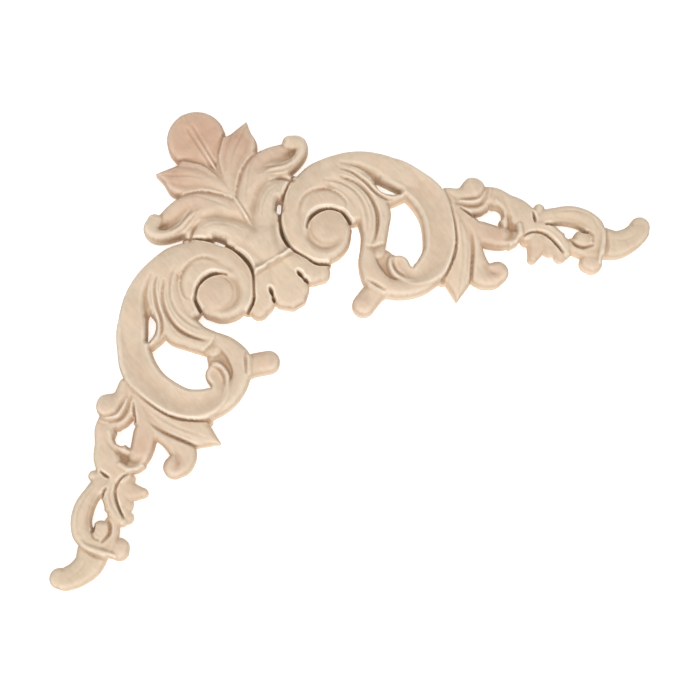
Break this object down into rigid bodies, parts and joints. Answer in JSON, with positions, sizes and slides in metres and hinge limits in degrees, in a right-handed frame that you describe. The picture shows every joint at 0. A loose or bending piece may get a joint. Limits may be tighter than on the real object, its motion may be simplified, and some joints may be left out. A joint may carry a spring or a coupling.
{
  "type": "carved corner onlay",
  "caption": "Carved wooden corner onlay with an acanthus palmette, scrolled arms and leafy tails, flat on its back for gluing to a door, mirror or panel corner.",
  "frame": {"origin": "on the flat back, under the solid hub between the two volutes, 35 mm from both outer sides of the 150 mm square", "axes": "+Z out of the carved face; one arm runs along +X and the other along -Y, so the corner points to -X +Y"},
  "size_m": [0.1502, 0.1501, 0.0111],
  "materials": {
    "wood": "raw pale close-grained wood, sanded, unfinished"
  },
  "bodies": {
    "root": {"corner_onlay": "wood"}
  },
  "joints": []
}
